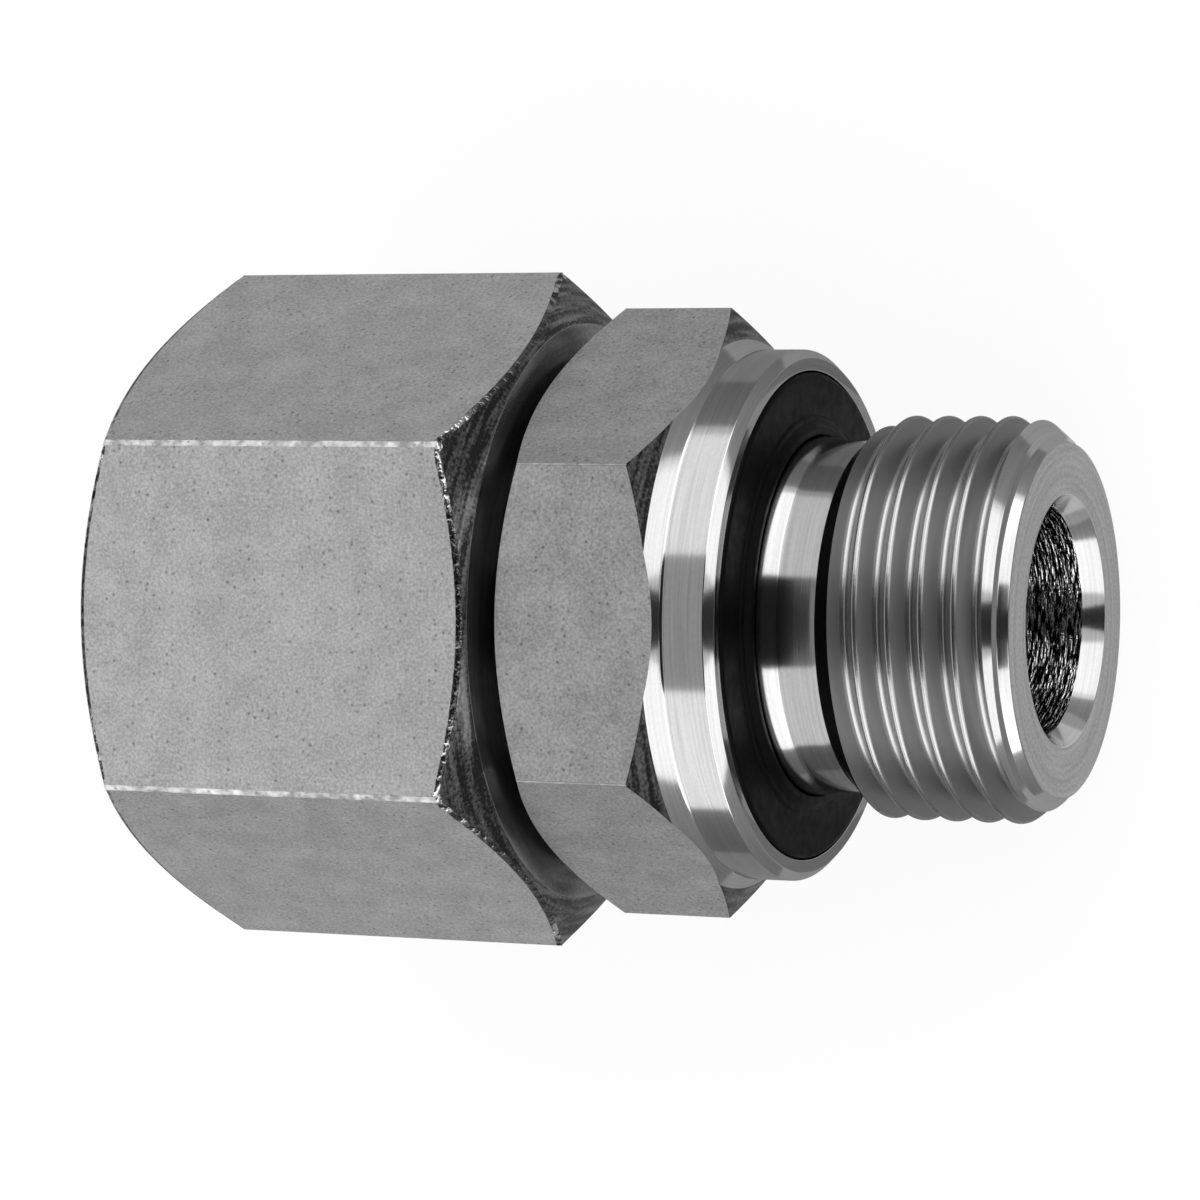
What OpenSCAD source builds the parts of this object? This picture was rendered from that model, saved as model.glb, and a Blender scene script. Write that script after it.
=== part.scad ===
// Straight swivel adapter for 15 mm hydraulic tube.
// One end is an M18 x 1.5 stud with a captive sealing ring in its collar.
// The other is a 24 degree cone with an O-ring and a free-turning M22 x 1.5 union nut.
// All sizes are millimetres. X runs along the flow axis towards the stud,
// x = 0 is the collar's sealing face, and the nut lies on its lower flat (-Z).

/* [Stud] */
// Major diameter of the stud thread
stud_d = 18; // [17:0.5:20]
// Pitch of the stud thread
stud_pitch = 1.5; // [1:0.25:1.75]
// Length of the stud, from the collar face to its end
stud_len = 12; // [11:0.5:16]
// Chamfer at the stud's end
stud_chamfer = 1.2; // [0.8:0.1:1.6]
// Plain neck between the collar face and the start of the thread
neck_len = 3.2; // [2.6:0.1:4]
// How far the neck lies below the root of the thread
neck_relief = 0.18; // [0.1:0.02:0.3]
// Length of the land that the sealing ring grips, past the collar face
seal_land_len = 0.5; // [0.3:0.1:0.8]
// How far that land stands above the neck
seal_land_step = 0.15; // [0.1:0.05:0.3]

/* [Collar] */
// Diameter of the turned collar
collar_d = 23.9; // [23.5:0.1:25]
// Length of the collar, from the hexagon to its face
collar_len = 2.85; // [2.6:0.05:4]
// Chamfer at the rim of the collar face
collar_chamfer = 0.35; // [0.2:0.05:0.6]
// Fillet where the collar meets the hexagon
collar_fillet = 0.85; // [0.2:0.05:1]
// Width of the rim round the sealing groove
seal_rim_w = 0.95; // [0.8:0.05:1.2]
// Depth of the sealing groove in the collar face
seal_groove_depth = 2; // [1.6:0.1:2.2]

/* [Body hexagon] */
// Width across the flats of the body
body_af = 24; // [24:0.5:27]
// Length of the hexagon, from its free face to the collar
body_hex_len = 7.6; // [6:0.2:12]
// How far inside the flats the chamfer starts on the free face
body_face_inset = 0.5; // [0.3:0.1:0.9]
// Angle of every hexagon chamfer, measured from the end face
chamfer_angle = 30; // [20:1:35]
// How far the corners of the body's hexagon are rounded back
body_corner_break = 0.02; // [0.02:0.02:0.2]
// How far the corners of the union nut are rounded back
nut_corner_break = 0.08; // [0.04:0.02:0.2]

/* [Cone nose] */
// Diameter of the spigot that the nut turns on
spigot_d = 17.6; // [17.4:0.1:17.8]
// Length of the spigot, from the hexagon to the cone
spigot_len = 8; // [7.4:0.2:10]
// Large diameter of the sealing cone
cone_d = 17; // [16.6:0.1:17.2]
// Length of the sealing cone
cone_len = 8.5; // [7.5:0.5:10]
// Included angle of the sealing cone
cone_angle = 24; // [20:1:26]
// Chamfer at the tip of the cone
cone_tip_chamfer = 0.5; // [0.3:0.1:0.7]
// Distance from the large end of the cone to the middle of the O-ring groove
o_groove_pos = 2; // [1.6:0.1:3]
// Side play of the O-ring in its groove
o_groove_play = 0.25; // [0.1:0.05:0.4]

/* [Flow bore] */
// Diameter of the bore that runs right through
bore_d = 10; // [8:0.5:10.5]
// Diameter of the countersink in the stud's end
mouth_d = 11.15; // [10.9:0.05:12]
// Depth of the countersink
mouth_depth = 0.9; // [0.6:0.1:1.2]

/* [Union nut] */
// Width across the flats of the nut
nut_af = 27; // [27:0.5:30]
// Length of the nut
nut_len = 19.4; // [19:0.2:22]
// Gap between the nut and the body hexagon
nut_gap = 0.5; // [0.3:0.1:1]
// How far inside the flats the chamfer starts on the nut's back face
nut_back_inset = 0.35; // [0.2:0.05:0.6]
// How far inside the flats the chamfer starts on the nut's mouth
nut_mouth_inset = 0.7; // [0.4:0.1:0.9]
// Nominal diameter of the nut thread
nut_thread_d = 22; // [21:0.5:22.5]
// Pitch of the nut thread
nut_pitch = 1.5; // [1:0.25:1.75]
// Length of the nut thread, from the mouth
nut_thread_len = 11.3; // [10:0.1:11.8]
// Width of the relief behind the nut thread
nut_relief_w = 1.5; // [1.2:0.1:1.6]

/* [Seals and ring] */
// Thickness of the O-ring
o_ring_w = 1.5; // [1.2:0.1:1.6]
// How far the O-ring stands above the cone
o_ring_proud = 0.25; // [0.15:0.05:0.4]
// How far the flat of the sealing ring stands above the collar face
seal_proud = 0.1; // [0.05:0.05:0.25]
// Height of the sealing ring's inner lip above its flat
seal_lip_h = 0.4; // [0.2:0.05:0.5]
// Width of that lip
seal_lip_w = 0.8; // [0.6:0.1:1]
// Wire thickness of the ring that keeps the nut on the spigot
wire_d = 1.6; // [1.4:0.1:1.8]
// Distance from the body hexagon to the middle of the wire ring
wire_pos = 3; // [2.7:0.1:3.3]
// Opening between the ends of the wire ring, in degrees
wire_gap_angle = 24; // [16:2:40]

/* [Fits] */
// Radial clearance of the nut on the spigot
swivel_clearance = 0.08; // [0.04:0.01:0.1]
// Clearance round the wire ring and round the rubber rings
ring_clearance = 0.05; // [0.02:0.01:0.08]

/* [Hidden] */
$fn = 96;
cut = 0.2;                 // how far a cutting shape runs past what it cuts
wire_fn = 32;              // sides of the wire ring's and O-ring's round sections
arc_steps = 6;             // points on a small fillet
chamfer_slope = tan(chamfer_angle);

// Metric 60 degree thread, as shares of the pitch
external_depth_share = 0.6134;
internal_depth_share = 0.5413;
flank = tan(30);
crest_share = 1 / 8;       // flat on an outside crest, and at the bottom of an inside groove

// Stud
stud_r = stud_d / 2;
stud_root_r = stud_r - external_depth_share * stud_pitch;
neck_r = stud_root_r - neck_relief;
seal_land_r = neck_r + seal_land_step;
collar_r = collar_d / 2;
seal_groove_r = collar_r - seal_rim_w;

// Places along the axis, from the collar face towards the nut's mouth
x_collar = -collar_len;
x_hex = x_collar - body_hex_len;
x_cone = x_hex - spigot_len;
x_tip = x_cone - cone_len;
x_nut_back = x_hex - nut_gap;
x_nut_mouth = x_nut_back - nut_len;
x_wire = x_hex - wire_pos;
x_o_ring = x_cone - o_groove_pos;

// Hexagons
function corner_r(af, broken) = af / 2 / cos(30) - broken;
body_corner_r = corner_r(body_af, body_corner_break);
nut_corner_r = corner_r(nut_af, nut_corner_break);
body_face_r = body_af / 2 - body_face_inset;
nut_back_r = nut_af / 2 - nut_back_inset;
nut_mouth_r = nut_af / 2 - nut_mouth_inset;

// Nose
spigot_r = spigot_d / 2;
cone_r = cone_d / 2;
cone_slope = tan(cone_angle / 2);
tip_r = cone_r - cone_len * cone_slope;
o_ring_r = cone_r - o_groove_pos * cone_slope + o_ring_proud - o_ring_w / 2;
o_groove_floor_r = o_ring_r - o_ring_w / 2 - ring_clearance;
o_groove_w = o_ring_w + 2 * o_groove_play;
bore_r = bore_d / 2;

// The wire ring sits half in the spigot and half in the nut. Its groove in the
// spigot is deep enough for the ring to be squeezed in while the nut goes on.
nut_bore_r = spigot_r + swivel_clearance;
wire_ring_r = nut_bore_r + wire_d / 8;
wire_groove_r = nut_bore_r - wire_d - ring_clearance;
wire_groove_w = wire_d + 2 * ring_clearance;

// Nut
nut_minor_r = nut_thread_d / 2 - internal_depth_share * nut_pitch;
nut_major_r = nut_thread_d / 2 + ring_clearance;
nut_relief_r = nut_major_r + 0.1;
x_thread_end = x_nut_mouth + nut_thread_len;
x_shoulder = x_thread_end + nut_relief_w;

module along_x() rotate([0, 90, 0]) children();

// A solid turned about the X axis from points [radius, x]
module turned(points) along_x() rotate_extrude() polygon(points);

// A plain round hole from x0 to x1
module hole(r, x0, x1) along_x() translate([0, 0, x0]) cylinder(r = r, h = x1 - x0);

// Hexagon bar from x0 to x1 with flats facing up and down
module hex_bar(af, x0, x1)
    along_x() translate([0, 0, x0]) rotate([0, 0, 30]) cylinder(r = af / 2 / cos(30), h = x1 - x0, $fn = 6);

// Points of an arc about [r, x], for a turned outline
function arc(r, x, radius, from, to) =
    [for (i = [0:arc_steps]) let (a = from + (to - from) * i / arc_steps) [r + radius * cos(a), x + radius * sin(a)]];

// Ring-shaped thread grooves, one every pitch. Each is open at r_open and ends in a
// narrow flat at r_root, with 60 degree flanks between.
module thread_grooves(r_open, r_root, root_w, pitch, x_first, count) {
    side = r_open > r_root ? 1 : -1;
    open_w = root_w + 2 * flank * (abs(r_open - r_root) + cut);
    for (i = [0:count - 1])
        let (x = x_first - i * pitch)
            turned([[r_root, x - root_w / 2], [r_root, x + root_w / 2],
                    [r_open + side * cut, x + open_w / 2], [r_open + side * cut, x - open_w / 2]]);
}

// Body: hexagon, collar, neck, stud, spigot and cone are one turned and milled piece
module body_outline() {
    hex_end = [collar_r, x_collar];
    fillet_angle = 90 - chamfer_angle;
    fillet_x = x_collar + collar_fillet * tan(fillet_angle / 2);
    intersection() {
        hex_bar(body_af, x_hex, fillet_x);
        turned(concat([[0, x_hex], [body_face_r, x_hex],
                       [body_corner_r, x_hex + (body_corner_r - body_face_r) * chamfer_slope],
                       [body_corner_r, x_collar - (body_corner_r - collar_r) * chamfer_slope],
                       hex_end + collar_fillet * tan(fillet_angle / 2) * [cos(chamfer_angle), -sin(chamfer_angle)]],
                      arc(collar_r + collar_fillet, fillet_x, collar_fillet, 180 + fillet_angle, 180),
                      [[0, fillet_x]]));
    }
    turned([[0, x_collar - cut], [collar_r - cut, x_collar - cut], [collar_r, x_collar],
            [collar_r, -collar_chamfer], [collar_r - collar_chamfer, 0], [0, 0]]);
}

module stud_outline() {
    neck_chamfer = stud_r - neck_r;
    turned([[0, -cut], [neck_r, -cut], [neck_r, neck_len], [stud_r, neck_len + neck_chamfer],
            [stud_r, stud_len - stud_chamfer], [stud_r - stud_chamfer, stud_len], [0, stud_len]]);
}

module nose_outline() {
    step = spigot_r - cone_r;
    turned([[0, x_hex + cut], [spigot_r, x_hex + cut], [spigot_r, x_cone + step], [cone_r, x_cone],
            [tip_r + cone_tip_chamfer * cone_slope, x_tip + cone_tip_chamfer],
            [tip_r - cone_tip_chamfer, x_tip], [0, x_tip]]);
}

module stud_thread_cuts() {
    root_w = stud_pitch * (1 - crest_share) - 2 * flank * (stud_r - stud_root_r);
    x_last = stud_len - stud_pitch / 2;
    thread_start = neck_len + stud_r - neck_r;
    thread_grooves(stud_r, stud_root_r, root_w, stud_pitch, x_last,
                   floor((x_last - thread_start) / stud_pitch) + 1);
}

module seal_groove() {
    difference() {
        hole(seal_groove_r, -seal_groove_depth, cut);
        hole(seal_land_r, -seal_groove_depth - cut, 2 * cut);
    }
}

module seal_land() {
    turned([[0, -seal_groove_depth - cut], [seal_land_r, -seal_groove_depth - cut], [seal_land_r, seal_land_len],
            [neck_r, seal_land_len + seal_land_step], [0, seal_land_len + seal_land_step]]);
}

module fitting_body() {
    color([0.62, 0.63, 0.63]) difference() {
        union() {
            difference() {
                body_outline();
                seal_groove();
            }
            stud_outline();
            seal_land();
            nose_outline();
        }
        stud_thread_cuts();
        hole(bore_r, x_tip - cut, stud_len + cut);
        // countersink in the stud's end
        turned([[0, stud_len - mouth_depth], [bore_r, stud_len - mouth_depth], [mouth_d / 2, stud_len],
                [mouth_d / 2, stud_len + cut], [0, stud_len + cut]]);
        // groove for the wire ring
        difference() {
            hole(spigot_r + cut, x_wire - wire_groove_w / 2, x_wire + wire_groove_w / 2);
            hole(wire_groove_r, x_wire - wire_groove_w, x_wire + wire_groove_w);
        }
        // groove for the O-ring
        difference() {
            hole(cone_r + cut, x_o_ring - o_groove_w / 2, x_o_ring + o_groove_w / 2);
            hole(o_groove_floor_r, x_o_ring - o_groove_w, x_o_ring + o_groove_w);
        }
    }
}

// Union nut: M22 x 1.5 at the mouth, a 45 degree shoulder and a plain bore behind
module nut_thread_cuts() {
    root_w = nut_pitch * crest_share;
    thread_grooves(nut_minor_r, nut_major_r, root_w, nut_pitch, x_thread_end - nut_pitch / 2,
                   floor(nut_thread_len / nut_pitch));
}

module swivel_nut() {
    mouth_r = nut_major_r + 0.3;
    color([0.55, 0.56, 0.57]) difference() {
        intersection() {
            hex_bar(nut_af, x_nut_mouth, x_nut_back);
            turned([[0, x_nut_mouth], [nut_mouth_r, x_nut_mouth],
                    [nut_corner_r, x_nut_mouth + (nut_corner_r - nut_mouth_r) * chamfer_slope],
                    [nut_corner_r, x_nut_back - (nut_corner_r - nut_back_r) * chamfer_slope],
                    [nut_back_r, x_nut_back], [0, x_nut_back]]);
        }
        hole(nut_minor_r, x_nut_mouth - cut, x_thread_end + cut);
        nut_thread_cuts();
        turned([[0, x_nut_mouth - cut], [mouth_r + cut, x_nut_mouth - cut],
                [nut_minor_r, x_nut_mouth + mouth_r - nut_minor_r], [0, x_nut_mouth + mouth_r - nut_minor_r]]);
        // relief, shoulder and rear bore
        turned([[0, x_thread_end], [nut_relief_r, x_thread_end], [nut_relief_r, x_shoulder],
                [nut_bore_r, x_shoulder + nut_relief_r - nut_bore_r], [0, x_shoulder + nut_relief_r - nut_bore_r]]);
        hole(nut_bore_r, x_shoulder, x_nut_back + cut);
        // groove that catches the wire ring
        hole(wire_ring_r + wire_d / 2 + ring_clearance, x_wire - wire_groove_w / 2 - ring_clearance,
             x_wire + wire_groove_w / 2 + ring_clearance);
    }
}

// Open ring of round spring wire
module retaining_ring()
    color([0.35, 0.35, 0.36]) along_x() translate([0, 0, x_wire])
        rotate([0, 0, 90 + wire_gap_angle / 2]) rotate_extrude(angle = 360 - wire_gap_angle)
            translate([wire_ring_r, 0]) circle(d = wire_d, $fn = wire_fn);

// O-ring in the cone
module cone_o_ring()
    color([0.1, 0.1, 0.11]) along_x() translate([0, 0, x_o_ring])
        rotate_extrude() translate([o_ring_r, 0]) circle(d = o_ring_w, $fn = wire_fn);

// Moulded sealing ring: a flat that meets the port's face, and an inner lip that grips the stud
module stud_seal() {
    inner_r = seal_land_r + ring_clearance;
    outer_r = seal_groove_r - ring_clearance;
    edge = 0.25;
    lip_r = inner_r + seal_lip_w;
    lip_x = seal_proud + seal_lip_h;
    color([0.13, 0.13, 0.14])
        turned(concat([[inner_r, -seal_groove_depth], [outer_r, -seal_groove_depth]],
                      arc(outer_r - edge, seal_proud - edge, edge, 0, 90),
                      [[lip_r, seal_proud], [lip_r - seal_lip_h, lip_x], [inner_r, lip_x]]));
}

fitting_body();
swivel_nut();
retaining_ring();
cone_o_ring();
stud_seal();
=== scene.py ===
# %% [markdown]
# This script dresses a straight swivel adapter for hydraulic tube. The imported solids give
# every size and place. Here each steel piece is turned and milled again as a finer mesh,
# with true helical threads and broken edges, and gets the finish of plated steel.
# A reader can run it cell by cell: each cell makes one thing and prints what it made.

# %% Load the solids
import math
import bmesh
import bpy
from mathutils import Matrix, Vector


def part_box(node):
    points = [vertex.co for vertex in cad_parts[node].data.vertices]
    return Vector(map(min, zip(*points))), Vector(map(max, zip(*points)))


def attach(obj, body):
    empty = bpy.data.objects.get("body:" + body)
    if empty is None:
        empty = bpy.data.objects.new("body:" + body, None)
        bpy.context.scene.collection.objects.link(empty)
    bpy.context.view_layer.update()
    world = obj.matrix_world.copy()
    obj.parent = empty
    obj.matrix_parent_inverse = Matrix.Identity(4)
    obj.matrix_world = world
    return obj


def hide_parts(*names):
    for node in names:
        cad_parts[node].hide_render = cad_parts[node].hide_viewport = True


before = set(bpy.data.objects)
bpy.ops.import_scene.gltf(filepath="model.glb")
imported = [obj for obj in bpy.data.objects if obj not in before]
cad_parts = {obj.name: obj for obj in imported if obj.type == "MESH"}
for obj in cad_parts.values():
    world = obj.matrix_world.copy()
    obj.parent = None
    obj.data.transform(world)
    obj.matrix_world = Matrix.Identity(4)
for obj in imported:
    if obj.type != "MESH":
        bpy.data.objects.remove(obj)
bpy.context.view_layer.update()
MM = 0.001
print("solids:", ", ".join(sorted(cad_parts)))

# %% [markdown]
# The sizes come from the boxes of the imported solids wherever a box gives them. The axis of
# the fitting is X, and the stud points to +X. What a box can't give, such as a groove's
# depth, is a named value in millimetres.

# %% Sizes of the real pieces
body_low, body_high = (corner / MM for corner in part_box("fitting_body"))
nut_low, nut_high = (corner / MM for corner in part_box("swivel_nut"))
seal_low, seal_high = (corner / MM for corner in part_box("stud_seal"))
wire_low, wire_high = (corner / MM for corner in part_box("retaining_ring"))
o_ring_low, o_ring_high = (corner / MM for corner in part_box("cone_o_ring"))

CHAMFER = math.tan(math.radians(30))   # rise of a hexagon's chamfer, per millimetre of radius
NUT_GAP = 0.5                          # between the nut and the body's hexagon
COLLAR_LEN = 2.85
BODY_ACROSS = 24.0                     # across the flats of the body's hexagon
COLLAR_R = 11.95
SPIGOT_R = 8.8
SWIVEL_PLAY = 0.08
BORE_R = 5.0
STUD_R = 9.0
STUD_ROOT_R = 8.08
NECK_R = 7.9

x_tip, x_stud_end = body_low.x, body_high.x
x_mouth, x_back = nut_low.x, nut_high.x
x_hex = x_back + NUT_GAP
x_collar = -COLLAR_LEN
x_wire = (wire_low.x + wire_high.x) / 2
x_o_ring = (o_ring_low.x + o_ring_high.x) / 2
nut_bore_r = SPIGOT_R + SWIVEL_PLAY
print(f"whole fitting {x_stud_end - x_mouth:.2f} mm long, nut {2 * nut_high.z:.1f} mm across its flats")

# %% [markdown]
# A turned piece is an outline spun about the axis. The outline is drawn like a pen line: a
# small plane is merged to one vertex, and that vertex is extruded from corner to corner.
# Real edges are never knife sharp, so a corner may carry a radius, and a short arc takes
# its place before the line is drawn.

# %% Helpers for turned pieces
ARC_POINTS = 4      # steps in a rounded corner
TURN_STEPS = 180    # steps round a steel piece
TINY = 0.0005       # points nearer than this many millimetres are merged


def rounded(corners):
    """Replaces each corner (x, r, radius) with an arc. A corner (x, r) stays sharp."""
    points = []
    for i, corner in enumerate(corners):
        here = Vector(corner[:2])
        if len(corner) == 2:
            points.append(here)
            continue
        before = Vector(corners[i - 1][:2]) - here
        after = Vector(corners[(i + 1) % len(corners)][:2]) - here
        half = before.angle(after) / 2
        reach = min(corner[2] / math.tan(half), before.length * 0.45, after.length * 0.45)
        start, end = here + before.normalized() * reach, here + after.normalized() * reach
        for k in range(ARC_POINTS + 1):
            t = k / ARC_POINTS
            points.append(start * (1 - t) ** 2 + here * 2 * t * (1 - t) + end * t ** 2)
    return points


def arc(x, r, radius, start, end, steps=6):
    """Points on an arc about (x, r). Angles are in degrees: 0 points along +X, 90 away from the axis."""
    angles = [math.radians(start + (end - start) * k / steps) for k in range(steps + 1)]
    return [(x + radius * math.cos(angle), r + radius * math.sin(angle)) for angle in angles]


def draw_outline(name, corners):
    """Draws a closed outline of (x, r) corners, in millimetres, in the plane above the axis."""
    points = rounded(corners)
    bpy.ops.object.select_all(action="DESELECT")
    bpy.ops.mesh.primitive_plane_add(size=MM, location=(points[0].x * MM, 0, points[0].y * MM))
    piece = bpy.context.object
    piece.name = piece.data.name = name
    bpy.ops.object.transform_apply(location=True)
    bpy.ops.object.mode_set(mode="EDIT")
    bpy.ops.mesh.select_mode(type="VERT")
    bpy.ops.mesh.merge(type="CENTER")
    for here, there in zip(points, points[1:] + points[:1]):
        step = (there - here) * MM
        bpy.ops.mesh.extrude_region_move(TRANSFORM_OT_translate={"value": (step.x, 0, step.y)})
    bpy.ops.mesh.select_all(action="SELECT")
    bpy.ops.mesh.remove_doubles(threshold=TINY * MM)
    return piece


def turn(steps):
    """Spins the drawn outline into a closed body and points its faces outwards."""
    bpy.ops.mesh.select_all(action="SELECT")
    bpy.ops.mesh.spin(steps=steps, angle=2 * math.pi, center=(0, 0, 0), axis=(1, 0, 0))
    bpy.ops.mesh.select_all(action="SELECT")
    bpy.ops.mesh.remove_doubles(threshold=TINY * MM)
    bpy.ops.mesh.normals_make_consistent(inside=False)


def count(piece):
    """Leaves edit mode and prints the size of the finished mesh."""
    if piece.mode == "EDIT":
        bpy.ops.object.mode_set(mode="OBJECT")
    size = Vector(piece.dimensions) / MM
    print(f"{piece.name}: {len(piece.data.polygons)} faces, {size.x:.1f} x {size.y:.1f} x {size.z:.1f} mm")


# %% [markdown]
# The hexagons are made as a shop makes them. The bar is turned with its chamfers, and then
# six planes cut the flats. Each cut is filled, which leaves the curved edge where a flat
# meets a chamfer, just as on the real nut. The edges of the flats are then beveled: plating
# and tumbling leave them round, and they catch a bright irregular line of light.

# %% Helpers for hexagons, slots and shading
SIDES = 6
SLOT_FLAT, SLOT_EDGE, SLOT_CHAMFER = 1, 2, 3                # slots of both hexagons
# The bore's slot carries painted shade and glints, the neck's painted shade, the bevel's painted highlight.
SLOT_BORE_PAINTED_SHADE_AND_GLINTS, SLOT_NECK_PAINTED_SHADE, SLOT_END, SLOT_BEVEL_PAINTED_HIGHLIGHT = 4, 5, 6, 7     # more slots of the body
# The burr's slot carries painted glints.
SLOT_BURR_PAINTED_GLINTS, SLOT_BACK = 4, 5                                 # more slots of the nut
BLANK_SPARE = 0.2       # how far a blank stands outside the corners that the flats leave
CHAMFER_INNER_R = 12.4  # no chamfer of a hexagon reaches further in
NEAR = 0.01             # play in the tests of a face's place and normal
CUT_PLAY = 0.0001       # points this near to a cutting plane lie on it
CUT_MERGE = 0.004       # slivers shorter than this are merged after the cuts


def blank_radius(across):
    """Radius of the turned bar from which a hexagon is milled."""
    return across / 2 / math.cos(math.pi / SIDES) + BLANK_SPARE


def edge_radius_width(across, corner_r):
    """Bevel width at which the corners of a hexagon come down to a radius."""
    radius = (across / 2 / math.cos(math.pi / SIDES) - corner_r) / (1 / math.cos(math.pi / SIDES) - 1)
    return radius * math.tan(math.pi / SIDES)


def give_slot(piece, slot, test):
    """Gives a slot to the faces whose middle point and normal pass a test, in edit mode."""
    bpy.ops.mesh.select_mode(type="FACE")
    bpy.ops.mesh.select_all(action="DESELECT")
    mesh = bmesh.from_edit_mesh(piece.data)
    for face in mesh.faces:
        face.select_set(test(face.calc_center_median() / MM, face.normal))
    bmesh.update_edit_mesh(piece.data)
    piece.active_material_index = slot
    bpy.ops.object.material_slot_assign()


def mill_flats(across):
    """Cuts six flats that lie `across` millimetres apart, in edit mode."""
    for k in range(SIDES):
        angle = math.radians(30 + 360 / SIDES * k)
        normal = Vector((0, math.cos(angle), math.sin(angle)))
        bpy.ops.mesh.select_all(action="SELECT")
        bpy.ops.mesh.bisect(plane_co=normal * across / 2 * MM, plane_no=normal, use_fill=True,
                            clear_outer=True, threshold=CUT_PLAY * MM)
    bpy.ops.mesh.select_all(action="SELECT")
    bpy.ops.mesh.remove_doubles(threshold=CUT_MERGE * MM)


def bevel_edges(piece, test, width, material):
    """Bevels the edges whose two faces pass a test, in edit mode."""
    bpy.ops.mesh.select_mode(type="EDGE")
    bpy.ops.mesh.select_all(action="DESELECT")
    mesh = bmesh.from_edit_mesh(piece.data)
    for edge in mesh.edges:
        edge.select_set(len(edge.link_faces) == 2 and test(*edge.link_faces))
    bmesh.update_edit_mesh(piece.data)
    bpy.ops.mesh.bevel(offset=width * MM, segments=4, profile=0.5, affect="EDGES", material=material)


def is_chamfer(place, normal):
    """Is this a face of the turned chamfers at both ends of a hexagon?"""
    return abs(abs(normal.x) - math.cos(math.radians(30))) < NEAR and place.yz.length > CHAMFER_INNER_R


def between_flats(a, b):
    """Is this one of the long edges of a hexagon?"""
    return a.material_index == b.material_index == SLOT_FLAT


def at_chamfer(a, b):
    """Is this one of the curved edges where a flat meets a chamfer?"""
    return (a.material_index in (SLOT_FLAT, SLOT_EDGE)) != (b.material_index in (SLOT_FLAT, SLOT_EDGE))


def smooth(piece, degrees=32):
    """Shades the piece smooth, with sharp edges above an angle and flat faces kept flat."""
    bpy.ops.object.mode_set(mode="OBJECT")
    bpy.ops.object.select_all(action="DESELECT")
    piece.select_set(True)
    bpy.context.view_layer.objects.active = piece
    bpy.ops.object.shade_smooth_by_angle(angle=math.radians(degrees))
    weighted = piece.modifiers.new("weighted normals", "WEIGHTED_NORMAL")
    weighted.keep_sharp = True
    bpy.ops.object.modifier_apply(modifier=weighted.name)


# %% [markdown]
# A thread is cut as on a lathe: a tool with the shape of one groove moves along the axis
# while the work turns. The Screw modifier sweeps the groove's outline along that helix, and
# a Boolean takes the sweep away from the turned body. The threads run in and out at the
# neck and at the chamfers by themselves, which a stack of rings could never show.

# %% Helper for threads
THREAD_STEPS = 120      # steps in one turn of a thread


def cut_thread(piece, section, x_start, pitch, turns, material):
    """Cuts a right-hand helical groove. Its section's corners are (x, r) about its middle."""
    bpy.ops.object.mode_set(mode="OBJECT")
    cutter = draw_outline("thread_cutter", [(x_start + x, r) for x, r in section])
    bpy.ops.object.mode_set(mode="OBJECT")
    cutter.data.materials.append(material)
    sweep = cutter.modifiers.new("helix", "SCREW")
    sweep.axis = "X"
    sweep.angle = 2 * math.pi
    sweep.screw_offset = pitch * MM
    sweep.iterations = turns
    sweep.steps = sweep.render_steps = THREAD_STEPS
    bpy.ops.object.modifier_apply(modifier=sweep.name)
    bpy.ops.object.mode_set(mode="EDIT")
    bpy.ops.mesh.select_all(action="SELECT")
    bpy.ops.mesh.remove_doubles(threshold=TINY * MM)
    bpy.ops.mesh.fill_holes(sides=0)
    bpy.ops.mesh.normals_make_consistent(inside=False)
    bpy.ops.object.mode_set(mode="OBJECT")
    bpy.ops.object.select_all(action="DESELECT")
    piece.select_set(True)
    bpy.context.view_layer.objects.active = piece
    cut = piece.modifiers.new("thread", "BOOLEAN")
    cut.operation = "DIFFERENCE"
    cut.solver = "EXACT"
    cut.material_mode = "TRANSFER"
    cut.object = cutter
    bpy.ops.object.modifier_apply(modifier=cut.name)
    bpy.data.objects.remove(cutter)


# %% [markdown]
# Every finish below is built from nodes that read Object coordinates, so a pattern stays on
# its piece from any side. One helper adds a node with its settings and links, and one turns
# the sRGB hex colours to the linear values that shaders take.

# %% Helpers for materials
def colour(hex_text):
    """Turns an sRGB hex colour to linear values."""
    parts = [int(hex_text[i:i + 2], 16) / 255 for i in (1, 3, 5)]
    linear = [p / 12.92 if p <= 0.04045 else ((p + 0.055) / 1.055) ** 2.4 for p in parts]
    return (*linear, 1.0)


def per_mm(size):
    """The texture scale at which a pattern's grains are about this many millimetres apart."""
    return 1 / (size * MM)


def add(tree, kind, inputs=None, **settings):
    """Adds a node, sets its own settings, and fills or links its inputs."""
    made = tree.nodes.new("ShaderNode" + kind)
    for name, value in settings.items():
        setattr(made, name, value)
    for name, value in (inputs or {}).items():
        if isinstance(value, bpy.types.NodeSocket):
            tree.links.new(value, made.inputs[name])
        else:
            made.inputs[name].default_value = value
    return made


def new_material(name):
    """A material with an empty node tree, its shader and the piece's own coordinates."""
    material = bpy.data.materials.new(name)
    material.use_nodes = True
    tree = material.node_tree
    tree.nodes.clear()
    shader = add(tree, "BsdfPrincipled")
    add(tree, "OutputMaterial", {"Surface": shader.outputs["BSDF"]})
    place = add(tree, "TexCoord").outputs["Object"]
    return material, tree, shader, place


# %% [markdown]
# The hexagons are drawn bar with a bright zinc plating over a slightly rough skin. It gives
# a matte, finely speckled grey: many tiny facets that each send the light another way. A
# fine noise makes the speckle and its slope, and a coarse one lets the tone drift. Scattered
# cells of a Voronoi pattern add the small dark pits of the bar's skin.

# %% Finish: plated skin of the hexagon bar
CLOUD_GRAIN = 14        # grains across one patch of the drifting tone
PIT_SPACING = 0.34      # millimetres
PIT_COLOUR = "#4a4a4c"


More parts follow.
